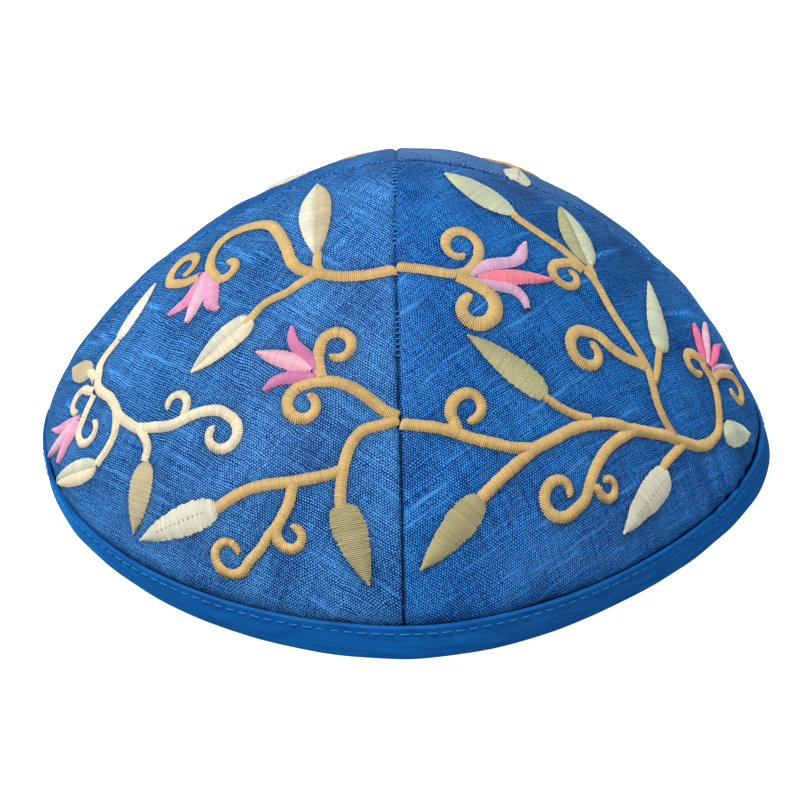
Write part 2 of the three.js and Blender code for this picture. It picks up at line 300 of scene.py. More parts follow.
BACK_LEFT_SCROLLS = (
    (GOLD, 2.7, ((-25.6, 96.4), (-23.0, 93.0), (-19.7, 88.7), (-17.1, 85.5), (-14.7, 83.2),
                 (-13.3, 81.5)), None),
    (GOLD, 2.0, ((7.4, 73.4), (3.2, 70.4), (1.2, 66.0), (2.8, 61.2), (7.4, 57.0), (12.8, 53.0),
                 (15.4, 49.5), (15.2, 45.3), (13.9, 41.2), (12.6, 37.5), (12.3, 33.9), (12.6, 31.3),
                 (12.9, 29.6)), None),
    (GOLD, 2.8, ((-38.3, 40.6), (-32.6, 41.7), (-27.4, 42.2), (-23.2, 42.5), (-18.5, 41.9),
                 (-13.3, 41.4), (-9.1, 40.4), (-5.5, 39.1), (-1.9, 37.2), (0.6, 35.2), (3.2, 33.9),
                 (6.9, 32.0), (10.5, 30.2), (13.6, 28.1), (16.8, 26.3)),
     (20.6, 21.4, 5.0, 2.6, 95, -275)),
    RIGHT_SCROLLS[1], RIGHT_SCROLLS[5], RIGHT_SCROLLS[7], *RIGHT_SCROLLS[9:14],
)
BACK_LEFT_LEAVES = (
    (IVORY, IVORY, (7.8, 73.0), (6.6, 88.0), 6.2, 0.42),
    *RIGHT_LEAVES[3:6],
)
BACK_LEFT_PETALS = (
    (CORAL, ((-16.6, 68.6, 1.4), (-15.2, 65.8, 3.0), (-13.0, 63.0, 2.8), (-10.6, 60.8, 0.9))),
    (LAVENDER, ((-17.4, 68.2, 1.4), (-18.2, 65.0, 2.6), (-18.0, 61.8, 2.4), (-16.8, 59.2, 0.9))),
)
# Each gore's middle line in degrees from the front, and its chart
GORE_PLAN = {
    "front_right": (45.0, RIGHT_SCROLLS, RIGHT_LEAVES, RIGHT_PETALS),
    "back_right": (135.0, BACK_RIGHT_SCROLLS, BACK_RIGHT_LEAVES, LEFT_PETALS[3:6]),
    "back_left": (225.0, BACK_LEFT_SCROLLS, BACK_LEFT_LEAVES, BACK_LEFT_PETALS),
    "front_left": (315.0, LEFT_SCROLLS, LEFT_LEAVES, LEFT_PETALS),
}
# Ripples drawn up by the hem stitches: gore, x and y of the middle, half-widths, wave and height
RIPPLES = (
    ("front_right", 22.0, 15.0, 17.0, 9.0, 6.4, 0.60),
    ("front_right", -4.0, 13.0, 9.0, 5.0, 5.2, 0.26),
    ("front_left", 30.0, 13.0, 16.0, 5.0, 6.0, 0.20),
)
# Patches of painted shade, where the silk looks navy, and of painted highlight, azure with a minus depth:
# gore, x and y of the middle, half-widths and depth
SHADE_PATCHES = (
    ("front_right", 33.0, 75.0, 12.0, 17.0, 0.40),
    ("front_right", 17.0, 96.0, 5.0, 7.0, 0.30),
    ("front_right", 40.0, 22.0, 9.0, 9.0, 0.18),
    ("front_left", -27.0, 81.0, 8.0, 8.0, 0.22),
    ("front_left", 8.0, 96.0, 24.0, 16.0, -0.22),
    ("front_left", -34.0, 55.0, 14.0, 10.0, -0.14),
    ("front_left", 0.0, 10.0, 34.0, 7.0, -0.10),
    ("front_right", -14.0, 98.0, 12.0, 14.0, -0.12),
)
# Thick azure wefts that stand out one by one: gore, both ends, half-width and how much brighter
SLUBS = (
    ("front_right", 21.5, 74.4, 38.0, 76.6, 0.45, 1.7),
    ("front_right", 32.0, 56.6, 51.0, 56.0, 0.50, 1.7),
    ("front_right", 27.0, 84.5, 36.0, 85.6, 0.40, 1.1),
    ("front_right", 38.0, 33.0, 52.0, 32.4, 0.45, 1.1),
    ("front_left", -40.0, 60.6, -22.0, 58.8, 0.50, 1.2),
    ("front_left", -29.4, 42.4, -14.7, 41.2, 0.45, 0.9),
    ("front_left", -43.0, 32.6, -33.0, 30.4, 0.50, 1.1),
    ("front_left", -47.0, 50.4, -37.0, 48.6, 0.45, 1.1),
    ("front_left", -24.0, 78.6, -6.0, 76.8, 0.45, 0.9),
)


def linear(hex_text):
    """Linear RGBA of an sRGB hex value."""
    channels = [int(hex_text[i:i + 2], 16) / 255 for i in (0, 2, 4)]
    lit = [c / 12.92 if c <= 0.04045 else ((c + 0.055) / 1.055) ** 2.4 for c in channels]
    return (*lit, 1.0)


# The dome

def soft_step(start, end, value):
    t = np.clip((value - start) / (end - start), 0, 1)
    return t * t * (3 - 2 * t)


def spot(x, y, x0, y0, half_x, half_y):
    """A soft spot round a point of a flat gore: 1 in its middle, 0 far away."""
    return np.exp(-((x - x0) / half_x) ** 2 - ((y - y0) / half_y) ** 2)


def run_along(points):
    """Length run along a flat line up to each of its points. Extra columns don't count."""
    return np.concatenate([[0], np.cumsum(np.hypot(*np.diff(points[:, :2], axis=0).T))])


def turn_from(azimuth, middle):
    """How far an azimuth lies to either side of a middle line."""
    return (azimuth - middle + math.pi) % (2 * math.pi) - math.pi


def rise_at_height(height):
    return np.arcsin((np.asarray(height) / DOME_HEIGHT) ** (PROFILE_POWER / 2))


def dome_point(azimuth, rise):
    """Outer surface of the CAD cap, before the binding pinches it, round its own axis."""
    turn = (azimuth / QUARTER) % 4
    index = np.minimum(turn.astype(int), 3)
    across = turn - index
    blend = across * across * (3 - 2 * across)
    reach = SEAM_REACH[index] * (1 - blend) + SEAM_REACH[index + 1] * blend
    tuck = SEAM_TUCK[index] * (1 - blend) + SEAM_TUCK[index + 1] * blend
    up = np.sin(rise) ** (2 / PROFILE_POWER)
    fullness = RIM_FULLNESS[index] * (1 - up) + CROWN_FULLNESS[index] * up + BELLY * 4 * up * (1 - up)
    low = np.maximum(1 - up / TUCK_REACH, 0) ** 2
    radius = (RIM_RADIUS * np.cos(rise) ** (2 / PROFILE_POWER)
              * (1 + fullness * np.sin(math.pi * across) ** FULLNESS_EASE)
              * (1 + (reach - 1) * (1 - up)) * (1 - tuck * low))
    return np.stack([radius * np.sin(azimuth), -radius * np.cos(azimuth), DOME_HEIGHT * up], -1)


def dome_normal(azimuth, rise):
    step = 1e-4
    along = dome_point(azimuth + step, rise) - dome_point(azimuth - step, rise)
    upward = dome_point(azimuth, rise + step) - dome_point(azimuth, np.maximum(rise - step, 0))
    normal = np.cross(along, upward)
    return normal / np.linalg.norm(normal, axis=-1, keepdims=True)


def pinch_depth(height):
    """How far the binding presses the gores inwards at a height."""
    opened = soft_step(BINDING_WIDTH - PINCH_REACH, BINDING_WIDTH + PINCH_REACH, height)
    return (CLEARANCE + BINDING_CLOTH) * (1 - opened)


# The cap's profile from crown to rim, for laying a gore flat
PROFILE_RISE = np.linspace(QUARTER, 0, 4001)
PROFILE_RADIUS = RIM_RADIUS * np.maximum(np.cos(PROFILE_RISE), 0) ** (2 / PROFILE_POWER)
PROFILE_HEIGHT = DOME_HEIGHT * np.sin(PROFILE_RISE) ** (2 / PROFILE_POWER)
PROFILE_LENGTH = run_along(np.stack([PROFILE_RADIUS, PROFILE_HEIGHT], -1))
GORE_LENGTH = PROFILE_LENGTH[-1]


def flat_to_dome(x, y, middle):
    """Azimuth and rise of a point on a gore laid flat. Middle is the azimuth of its middle line."""
    along = np.hypot(x, GORE_LENGTH - y)
    radius = np.maximum(np.interp(along, PROFILE_LENGTH, PROFILE_RADIUS), 1e-6)
    azimuth = middle + np.arctan2(x, GORE_LENGTH - y) * along / radius
    return azimuth, np.interp(along, PROFILE_LENGTH, PROFILE_RISE)


def dome_to_flat(azimuth, rise, middle):
    along = np.interp(-rise, -PROFILE_RISE, PROFILE_LENGTH)
    radius = np.interp(-rise, -PROFILE_RISE, PROFILE_RADIUS)
    angle = (azimuth - middle) * radius / np.maximum(along, 1e-6)
    return along * np.sin(angle), GORE_LENGTH - along * np.cos(angle)


def stray(azimuth, rise, way):
    """Moves points in plan as far as the sewn seams stray sideways and the side seams drift back
    there, or the other way with way -1."""
    share = np.cos(rise) ** (2 / PROFILE_POWER)
    x = RIM_RADIUS * share * np.sin(azimuth) + way * np.interp(rise, SEAM_STRAY_RISE, SEAM_STRAY)
    y = -RIM_RADIUS * share * np.cos(azimuth)
    for side, drift in ((1, RIGHT_DRIFT), (-1, LEFT_DRIFT)):
        near_side = soft_step(DRIFT_FROM, DRIFT_WHOLE, side * np.sin(azimuth))
        y = y + way * near_side * np.interp(rise, SIDE_DRIFT_RISE, drift)
    share = np.minimum(np.hypot(x, y) / RIM_RADIUS, 1.0)
    strayed_rise = np.arccos(share ** (PROFILE_POWER / 2))
    return np.arctan2(x, -y), np.where(np.abs(rise) < SEAM_STRAY_RISE[0], rise, strayed_rise)


def seam_distance(azimuth, rise):
    """Distance in millimetres to the nearest sewn seam."""
    straight, straight_rise = stray(azimuth, rise, -1)
    radius = RIM_RADIUS * np.cos(straight_rise) ** (2 / PROFILE_POWER)
    off = (straight / QUARTER) - np.round(straight / QUARTER)
    return radius * np.abs(np.sin(off * QUARTER))


def relief(azimuth, rise, gore):
    """Height of the cloth's soft unevenness over the dome, in millimetres."""
    middle = math.radians(GORE_PLAN[gore][0])
    x, y = dome_to_flat(turn_from(azimuth, middle) + middle, rise, middle)
    waves = np.random.default_rng(SEED + GORES.index(gore))
    height = np.zeros_like(x)
    for _ in range(UNEVEN_WAVES):
        heading, length = waves.uniform(0, math.pi), waves.uniform(*UNEVEN_LENGTHS)
        phase = waves.uniform(0, 6.28)
        height += UNEVEN_HEIGHT * np.sin((x * math.cos(heading) + y * math.sin(heading))
                                         * 2 * math.pi / length + phase)
    for where, x0, y0, half_x, half_y, wave, size in RIPPLES:
        if where == gore:
            fade = spot(x, y, x0, y0, half_x, half_y)
            height += size * np.sin((x - x0) * 2 * math.pi / wave + (y - y0) * 0.12) * fade
    distance = seam_distance(azimuth, rise)
    return height * soft_step(0, 7, distance) * soft_step(BINDING_WIDTH, BINDING_WIDTH + 5, y)


def cloth_point(azimuth, rise, lift, gore):
    """A point over the gore's outer face, in millimetres in the row frame, and the way out there."""
    point = dome_point(azimuth, rise)
    normal = dome_normal(azimuth, rise)
    groove = GROOVE_DEPTH * np.exp(-(seam_distance(azimuth, rise) / GROOVE_HALF_WIDTH) ** 2)
    groove *= 1 - GROOVE_FILLED * soft_step(0.9, 1.5, rise)
    out = lift - pinch_depth(point[..., 2]) - groove + relief(azimuth, rise, gore)
    point = point + normal * out[..., None]
    point[..., 0] += AXIS_X
    return point, normal


# Mesh helpers

def new_object(name, mesh):
    made = bpy.data.objects.new(name, mesh)
    bpy.context.scene.collection.objects.link(made)
    return made


def grid_faces(rows, columns, offset=0, flip=False):
    """Quads of a grid of points stored row after row."""
    corner = offset + (np.arange(rows - 1)[:, None] * columns + np.arange(columns - 1)[None]).ravel()
    quads = np.stack([corner, corner + 1, corner + columns + 1, corner + columns], -1)
    return quads[:, ::-1] if flip else quads


def make_mesh(name, points, quads, uv=None):
    """A smooth mesh from points in millimetres and quads, with a UV map in millimetres."""
    mesh = bpy.data.meshes.new(name)
    mesh.from_pydata((np.asarray(points) * MM).tolist(), [], np.asarray(quads).tolist())
    mesh.polygons.foreach_set("use_smooth", np.ones(len(mesh.polygons), bool))
    if uv is not None:
        layer = mesh.uv_layers.new(name="cloth_mm")
        corners = np.zeros(len(mesh.loops), int)
        mesh.loops.foreach_get("vertex_index", corners)
        layer.data.foreach_set("uv", np.asarray(uv)[corners].astype(np.float32).ravel())
    mesh.update()
    return mesh


# The silk gores

def gore_mesh(gore, steps_across, steps_up):
    """One gore as a closed sheet: outer face, inner face and the edges between."""
    index = GORES.index(gore)
    middle = math.radians(GORE_PLAN[gore][0])
    hem = float(rise_at_height(BINDING_CLOTH + CLEARANCE))
    pinch = rise_at_height(np.linspace(BINDING_WIDTH - PINCH_REACH, BINDING_WIDTH + PINCH_REACH, 9))
    along = np.linspace(np.interp(-pinch[-1], -PROFILE_RISE, PROFILE_LENGTH), 0.3, steps_up)
    rises = np.concatenate([[hem], pinch[:-1], np.interp(along, PROFILE_LENGTH, PROFILE_RISE)])
    edge = np.array([-0.03, 0.12, 0.26, 0.40, 0.56, 0.78, 1.05, 1.5, 2.2])
    radius = RIM_RADIUS * np.cos(rises) ** (2 / PROFILE_POWER)
    most = np.arange(1, len(edge) + 1) / (len(edge) + 1) * 0.3 * QUARTER
    near = np.minimum(edge[None] / radius[:, None], most[None])
    inner = np.linspace(0, 1, steps_across)[None, 1:-1]
    between = near[:, -1:] + (QUARTER - 2 * near[:, -1:]) * inner
    columns = index * QUARTER + np.concatenate([near, between, QUARTER - near[:, ::-1]], 1)
    rise = np.repeat(rises[:, None], columns.shape[1], 1)
    azimuth, rise = stray(columns, rise, 1)
    azimuth = turn_from(azimuth, middle) + middle
    outer, _ = cloth_point(azimuth, rise, np.zeros_like(rise), gore)
    lining, _ = cloth_point(azimuth, rise, np.full_like(rise, -PANEL_CLOTH), gore)
    x, y = dome_to_flat(azimuth, rise, middle)
    rows, width = rise.shape
    count = rows * width
    quads = [grid_faces(rows, width), grid_faces(rows, width, count, True)]
    first_row, last_row = np.arange(width), (rows - 1) * width + np.arange(width)
    first_column, last_column = np.arange(rows) * width, np.arange(rows) * width + width - 1
    for line, way in ((first_row, 1), (last_row, -1), (first_column, -1), (last_column, 1)):
        strip = np.stack([line[:-1], line[:-1] + count, line[1:] + count, line[1:]], -1)
        quads.append(strip[:, ::way])
    points = np.concatenate([outer.reshape(-1, 3), lining.reshape(-1, 3)])
    uv = np.stack([x.ravel(), y.ravel()], -1)
    mesh = make_mesh("silk_" + gore, points, np.concatenate(quads), np.concatenate([uv, uv]))
    above_binding = dome_point(azimuth, rise)[..., 2] - BINDING_WIDTH
    # Painted shade and painted highlight in patches, then painted shade beside stitches, in the seams and
    # under the binding's fold; the slubs then lighten it
    shade = np.zeros_like(x)
    for where, x0, y0, half_x, half_y, depth in SHADE_PATCHES:
        if where == gore:
            shade += depth * spot(x, y, x0, y0, half_x, half_y)
    seam_shade = SEAM_SHADE - SEAM_SHADE_LOST * soft_step(0.7, 1.3, rise)
    painted_shade_slubs = np.maximum.reduce([
        shade,
        STITCH_SHADE * np.exp(-np.maximum(stitch_distance(gore, x, y), 0) / STITCH_SHADE_REACH),
        seam_shade * np.exp(-(seam_distance(azimuth, rise) / SEAM_SHADE_REACH) ** 2),
        BINDING_SHADE * np.exp(-np.maximum(above_binding, 0) / BINDING_SHADE_REACH)])
    painted_shade_slubs = painted_shade_slubs + np.minimum(shade, 0)
    for where, x0, y0, x1, y1, half, gain in SLUBS:
        if where == gore:
            run = ((x - x0) * (x1 - x0) + (y - y0) * (y1 - y0)) / ((x1 - x0) ** 2 + (y1 - y0) ** 2)
            off = y - y0 - np.clip(run, 0, 1) * (y1 - y0)
            fade = soft_step(0, 0.3, run) * soft_step(0, 0.3, 1 - run)
            painted_shade_slubs = painted_shade_slubs - gain * fade * np.exp(-(off / half) ** 2) * (1 - painted_shade_slubs)
    painted_shade_slubs = np.concatenate([painted_shade_slubs.ravel(), np.zeros(count)]).astype(np.float32)
    mesh.attributes.new("painted_shade_and_slubs", "FLOAT", "POINT").data.foreach_set("value", painted_shade_slubs)
    return mesh


def stitch_distance(gore, x, y):
    """Distance in millimetres from flat points to the edge of the nearest satin-stitched line."""
    lines = [(path, half) for _, _, path, half, _ in chart_lines(gore, 0.8)]
    centres = np.concatenate([path for path, _ in lines])
    halves = np.concatenate([half for _, half in lines])
    nearest = []
    for row_x, row_y in zip(x, y):
        away = np.hypot(centres[:, 0] - row_x[:, None], centres[:, 1] - row_y[:, None])
        nearest.append(np.min(away - halves, 1))
    return np.array(nearest)


# The folded binding

def level_point(azimuth, height, depth):
    """A point at a height, moved sideways from the dome's face, as the CAD binding is."""
    rise = rise_at_height(height)
    normal = dome_normal(azimuth, rise)
    sideways = normal[..., :2] / (normal[..., :1] ** 2 + normal[..., 1:2] ** 2)
    point = dome_point(azimuth, rise)
    point[..., :2] -= sideways * (depth + pinch_depth(height))[..., None]
    point[..., 0] += AXIS_X
    return point


def binding_section():
    """The binding's section as heights and depths: rounded folds at the top, rim and inside."""
    outside, inside = -(CLEARANCE + BINDING_CLOTH), PANEL_CLOTH + CLEARANCE + BINDING_CLOTH
    fold = BINDING_CLOTH / 2
    turn = np.linspace(0, math.pi, 9)
    outer_leg = [(h, outside - 0.10 * math.sin(math.pi * (h - 0.6) / 6.0))
                 for h in np.linspace(0.6, 6.6, 13)]
    top_fold = [(BINDING_WIDTH - fold + fold * math.sin(t), outside + fold - fold * math.cos(t))
                for t in turn]
    under = [(h, -CLEARANCE) for h in np.linspace(6.2, 1.4, 7)]
    turn_in = [(BINDING_CLOTH, -CLEARANCE * 0.6), (BINDING_CLOTH, inside - BINDING_CLOTH)]
    inner_leg = [(h, inside - BINDING_CLOTH) for h in np.linspace(1.6, 5.6, 5)]
    inner_fold = [(BINDING_TURN_IN - fold + fold * math.sin(t), inside - fold - fold * math.cos(t))
                  for t in turn]
    back = [(h, inside) for h in np.linspace(5.4, 0.6, 5)]
    rim = [(0.18, inside - 0.18), (0.0, inside - 0.6), (0.0, outside + 0.6), (0.18, outside + 0.18)]
    return np.array(outer_leg + top_fold + under + turn_in + inner_leg + inner_fold + back + rim)


def binding_mesh(steps):
    """The section carried once round the rim, with its fold waving a little up and out."""
    section = binding_section()
    azimuth = np.repeat(np.linspace(0, 4 * QUARTER, steps + 1)[:, None], len(section) + 1, 1)
    closed = np.concatenate([section, section[:1]])
    waves = np.random.default_rng(SEED)
    wobble = np.zeros(steps + 1)
    for _ in range(BINDING_WAVES):
        count, phase = int(waves.integers(9, 46)), waves.uniform(0, 6.28)
        wobble += BINDING_WAVE_HEIGHT * np.sin(azimuth[:, 0] * count + phase)
    height = np.repeat(closed[None, :, 0], steps + 1, 0)
    depth = closed[None, :, 1] - wobble[:, None] * (closed[None, :, 1] < 0)
    height = height + wobble[:, None] * 1.2 * soft_step(4.5, BINDING_WIDTH, height)
    points = level_point(azimuth, height, depth)
    uv = np.stack([azimuth * RIM_RADIUS, np.repeat(run_along(closed)[None], steps + 1, 0)], -1)
    quads = grid_faces(steps + 1, len(section) + 1)
    return make_mesh("binding", points.reshape(-1, 3), quads, uv.reshape(-1, 2))


# Paths of the embroidery

def smooth_line(points, step):
    """A Catmull-Rom line through points, at about even steps. Extra columns are carried along."""
    points = np.asarray(points, float)
    if len(points) < 3:
        points = np.insert(points, 1, (points[0] + points[-1]) / 2, 0)
    padded = np.concatenate([[2 * points[0] - points[1]], points, [2 * points[-1] - points[-2]]])
    pieces = []
    for a, b, c, d in zip(padded, padded[1:], padded[2:], padded[3:]):
        t = np.linspace(0, 1, 17)[:-1, None]
        pieces.append(0.5 * (2 * b + (c - a) * t + (2 * a - 5 * b + 4 * c - d) * t ** 2
                             + (3 * b - a - 3 * c + d) * t ** 3))
    fine = np.concatenate([*pieces, points[-1:]])
    run = run_along(fine)
    even = np.linspace(0, run[-1], max(int(run[-1] / step), 4) + 1)
    return np.stack([np.interp(even, run, column) for column in fine.T], -1)


def scroll_line(width, points, curl, step):
    """A scroll's centre line with its half-width: tapered into the curl and rounded at the tip."""
    line = [tuple(point) for point in points]
    if curl:
        x, y, first, last, start, sweep = curl
        turns = np.linspace(0, 1, max(int(abs(sweep) / 20), 3) + 1)
        for t in turns:
            radius = first + (last - first) * t ** 1.6
            angle = math.radians(start + sweep * t)
            line.append((x + radius * math.cos(angle), y + radius * math.sin(angle)))
    path = smooth_line(line, step)
    run = run_along(path)
    left = run[-1] - run
    half = np.full(len(path), width / 2)
    if curl:
        # Narrower over the last 10 mm, and round over the last 0.9 mm
        half *= 0.72 + 0.28 * np.clip(left / 10, 0, 1)
        half *= np.sqrt(np.clip(1 - (1 - np.clip(left / 0.9, 0, 1)) ** 2, 0.12, 1))
    return path, half


def leaf_lines(base, tip, width, fullest, whole, step):
    """The centre lines and half-widths of a leaf's left and right half, or of a whole leaf."""
    base, tip = np.array(base), np.array(tip)
    length = np.linalg.norm(tip - base)
    t = np.linspace(0.004, 0.996, int(length / step))
    blunt = 0.9 * fullest / (1 - fullest)
    shape = (t / fullest) ** blunt * ((1 - t) / (1 - fullest)) ** 0.8
    forward = (tip - base) / length
    left = np.array([-forward[1], forward[0]])
    spine = base + np.outer(t, tip - base)
    if whole:
        yield spine, np.maximum(width / 2 * shape, 0.3)
        return
    # The halves are a little wide and set a little inwards, so that they meet along the spine
    for side in (1, -1):
        quarter = width / 4 * shape
        yield spine + side * left * quarter[:, None] * 0.94, np.maximum(quarter * 1.06, 0.22)


def chart_lines(gore, step):
    """Every satin-stitched line of a gore: group, thread, flat points, half-widths and puff."""
    _, scrolls, leaves, petals = GORE_PLAN[gore]
    for thread, width, points, curl in scrolls:
        path, half = scroll_line(width, points, curl, step)
        yield ("gold" if thread == GOLD else "ivory"), thread, path, half, 0.50 * np.sqrt(half)
    for left_thread, right_thread, base, tip, width, fullest in leaves:
        halves = leaf_lines(base, tip, width, fullest, left_thread == right_thread, step)
        for thread, (path, half) in zip((left_thread, right_thread), halves):
            group = "ivory" if thread in (IVORY, WHITE, CREAM) else "sage"
            yield group, thread, path, half, 0.42 * np.sqrt(half)
    for number, (thread, points) in enumerate(petals):
        line = smooth_line(points, step)
        half = line[:, 2] / 2
        yield "pink", thread, line[:, :2], half, 0.52 * np.sqrt(half) + 0.1 * (number % 3)


def on_gore(gore, path, half, lift):
    """A flat line laid on a gore: points, the way across its stitches and the way out."""
    middle = math.radians(GORE_PLAN[gore][0])
    ahead = np.gradient(path, axis=0)
    ahead /= np.linalg.norm(ahead, axis=1, keepdims=True)
    side = np.stack([-ahead[:, 1], ahead[:, 0]], -1) * half[:, None]
    ends = []
    for way in (1, -1):
        azimuth, rise = flat_to_dome(*(path + way * side).T, middle)
        ends.append(cloth_point(azimuth, rise, np.zeros_like(rise), gore)[0])
    azimuth, rise = flat_to_dome(*path.T, middle)
    point, outward = cloth_point(azimuth, rise, np.full_like(rise, lift), gore)
    across = ends[0] - ends[1]
    across /= np.linalg.norm(across, axis=1, keepdims=True)
    straight, _ = stray(azimuth, rise, -1)
    radius = np.hypot(point[:, 0] - AXIS_X, point[:, 1])
    inside = (QUARTER / 2 - np.abs(turn_from(straight, middle))) * radius > 0.12
    return point[inside], across[inside], outward[inside], inside


def guide_mesh(name, lines):
    """One mesh of edge lines with what each stitch needs to know as attributes."""
    points, edges, start = [], [], 0
    columns = {"across": [], "outward": [], "reach": [], "puff": [], "thread_colour": []}
    for line in lines:
        count = len(line["points"])
        points.append(line["points"])
        steps = start + np.arange(count - 1)
        edges.append(np.stack([steps, steps + 1], -1))
        start += count
        for key, store in columns.items():
            store.append(line[key])
    mesh = bpy.data.meshes.new(name)
    mesh.from_pydata((np.concatenate(points) * MM).tolist(), np.concatenate(edges).tolist(), [])
    kinds = {"across": ("FLOAT_VECTOR", "vector"), "outward": ("FLOAT_VECTOR", "vector"),
             "reach": ("FLOAT", "value"), "puff": ("FLOAT", "value"),
             "thread_colour": ("FLOAT_COLOR", "color")}
    for key, (kind, field) in kinds.items():
        values = np.concatenate(columns[key])
        if field == "value":
            values = values * MM
        attribute = mesh.attributes.new(key, kind, "POINT")
        attribute.data.foreach_set(field, values.astype(np.float32).ravel())
    return mesh


# Node helpers

def add_node(tree, kind, inputs=None, **settings):
    """Adds a node, sets its settings, then sets or links each named input."""
    node = tree.nodes.new(kind)
    for name, value in settings.items():
        setattr(node, name, value)
    for name, value in (inputs or {}).items():
        if isinstance(value, bpy.types.NodeSocket):
            tree.links.new(value, node.inputs[name])
        else:
            node.inputs[name].default_value = value
    return node


def set_inputs(node, values):
    """Sets a node's named inputs."""
    for name, value in values.items():
        node.inputs[name].default_value = value


def calculate(tree, operation, *values):
    """The result of a maths node; each value is a number or a socket."""
    return add_node(tree, "ShaderNodeMath", dict(enumerate(values)), operation=operation).outputs[0]


def noise(tree, place, scale, detail, grain=None):
    """The outputs of a noise texture. A grain multiplies the place first, to draw the noise out."""
    if grain:
        place = add_node(tree, "ShaderNodeMapping", {"Vector": place, "Scale": grain}).outputs[0]
    return add_node(tree, "ShaderNodeTexNoise",
                    {"Vector": place, "Scale": scale, "Detail": detail}).outputs


def stitch_tree():
    """Geometry Nodes: a thread laid across a line at every stitch, arched over its padding."""
    tree = bpy.data.node_groups.new("Stitches Along Lines", "GeometryNodeTree")
    sockets = tree.interface
    sockets.new_socket("Lines", in_out="INPUT", socket_type="NodeSocketGeometry")
    for name, kind in (("Stitch Pitch", "Float"), ("Thread Radius", "Float"),
                       ("Length Variation", "Float"), ("Seed", "Int"), ("Thread", "Material")):
        sockets.new_socket(name, in_out="INPUT", socket_type="NodeSocket" + kind)
    sockets.new_socket("Stitches", in_out="OUTPUT", socket_type="NodeSocketGeometry")
    given = add_node(tree, "NodeGroupInput").outputs

    def stored(name, kind):
        return add_node(tree, "GeometryNodeInputNamedAttribute", {"Name": name},
                        data_type=kind).outputs["Attribute"]

    curve = add_node(tree, "GeometryNodeMeshToCurve", {"Mesh": given["Lines"]})
    steps = add_node(tree, "GeometryNodeResampleCurve",
                     {"Curve": curve.outputs[0], "Length": given["Stitch Pitch"]}, mode="LENGTH")
    arch = add_node(tree, "GeometryNodeCurveQuadraticBezier",
                    {"Resolution": 6, "Start": (-1, 0, -0.12), "Middle": (0, 0, 2), "End": (1, 0, -0.12)})
    turn = add_node(tree, "FunctionNodeAxesToRotation",
                    {"Primary Axis": stored("outward", "FLOAT_VECTOR"),
                     "Secondary Axis": stored("across", "FLOAT_VECTOR")},
                    primary_axis="Z", secondary_axis="X")
    least = calculate(tree, "SUBTRACT", 1.0, given["Length Variation"])
    most = calculate(tree, "ADD", 1.0, given["Length Variation"])
    vary = add_node(tree, "FunctionNodeRandomValue",
                    {2: least, 3: most, "Seed": given["Seed"]}, data_type="FLOAT")
    reach = calculate(tree, "MULTIPLY", stored("reach", "FLOAT"), vary.outputs[1])
    size = add_node(tree, "ShaderNodeCombineXYZ",
                    {"X": reach, "Y": 1.0, "Z": stored("puff", "FLOAT")})
    placed = add_node(tree, "GeometryNodeInstanceOnPoints",
                      {"Points": steps.outputs[0], "Instance": arch.outputs[0],
                       "Rotation": turn.outputs[0], "Scale": size.outputs[0]})
    next_seed = calculate(tree, "ADD", given["Seed"], 1.0)
    shade = add_node(tree, "FunctionNodeRandomValue",
                     {2: 0.0, 3: 1.0, "Seed": next_seed}, data_type="FLOAT")
    shaded = add_node(tree, "GeometryNodeStoreNamedAttribute",
                      {"Geometry": placed.outputs[0], "Name": "shade", "Value": shade.outputs[1]},
                      data_type="FLOAT", domain="INSTANCE")
    real = add_node(tree, "GeometryNodeRealizeInstances", {"Geometry": shaded.outputs[0]})
    ring = add_node(tree, "GeometryNodeCurvePrimitiveCircle",
                    {"Resolution": 4, "Radius": given["Thread Radius"]})
    threads = add_node(tree, "GeometryNodeCurveToMesh",
                       {"Curve": real.outputs[0], "Profile Curve": ring.outputs[0]})
    smooth = add_node(tree, "GeometryNodeSetShadeSmooth", {"Geometry": threads.outputs[0]})
    solid = add_node(tree, "GeometryNodeRealizeInstances", {"Geometry": smooth.outputs[0]})
    finished = add_node(tree, "GeometryNodeSetMaterial",
                        {"Geometry": solid.outputs[0], "Material": given["Thread"]})
    add_node(tree, "NodeGroupOutput", {"Stitches": finished.outputs[0]})
    return tree


def stitched(name, lines, material, pitch, radius, variation, seed):
    """Runs the stitch tree over guide lines and keeps the threads as a plain mesh object."""
    tree = bpy.data.node_groups.get("Stitches Along Lines") or stitch_tree()
    guide = new_object(name + "_guide", guide_mesh(name + "_guide", lines))
    modifier = guide.modifiers.new("Stitches", "NODES")
    modifier.node_group = tree
    values = {"Stitch Pitch": pitch * MM, "Thread Radius": radius * MM, "Length Variation": variation,
              "Seed": seed, "Thread": material}
    for item in tree.interface.items_tree:
        if item.item_type == "SOCKET" and item.name in values:
            modifier[item.identifier] = values[item.name]
    graph = bpy.context.evaluated_depsgraph_get()
    mesh = bpy.data.meshes.new_from_object(guide.evaluated_get(graph))
    mesh.name = name
    if not mesh.materials:
        mesh.materials.append(material)
    guide.modifiers.remove(modifier)
    bpy.data.objects.remove(guide)
    return new_object(name, mesh)


def sewn_line(points, across, outward, reach, puff, colour=AZURE):
    """A guide line of sewing stitches, each lying along its across direction."""
    count = len(points)
    across = across / np.linalg.norm(across, axis=1, keepdims=True)
    outward = outward / np.linalg.norm(outward, axis=1, keepdims=True)
    return {"points": points, "across": across, "outward": outward, "reach": np.full(count, reach),
            "puff": np.full(count, puff), "thread_colour": np.tile(linear(colour), (count, 1))}


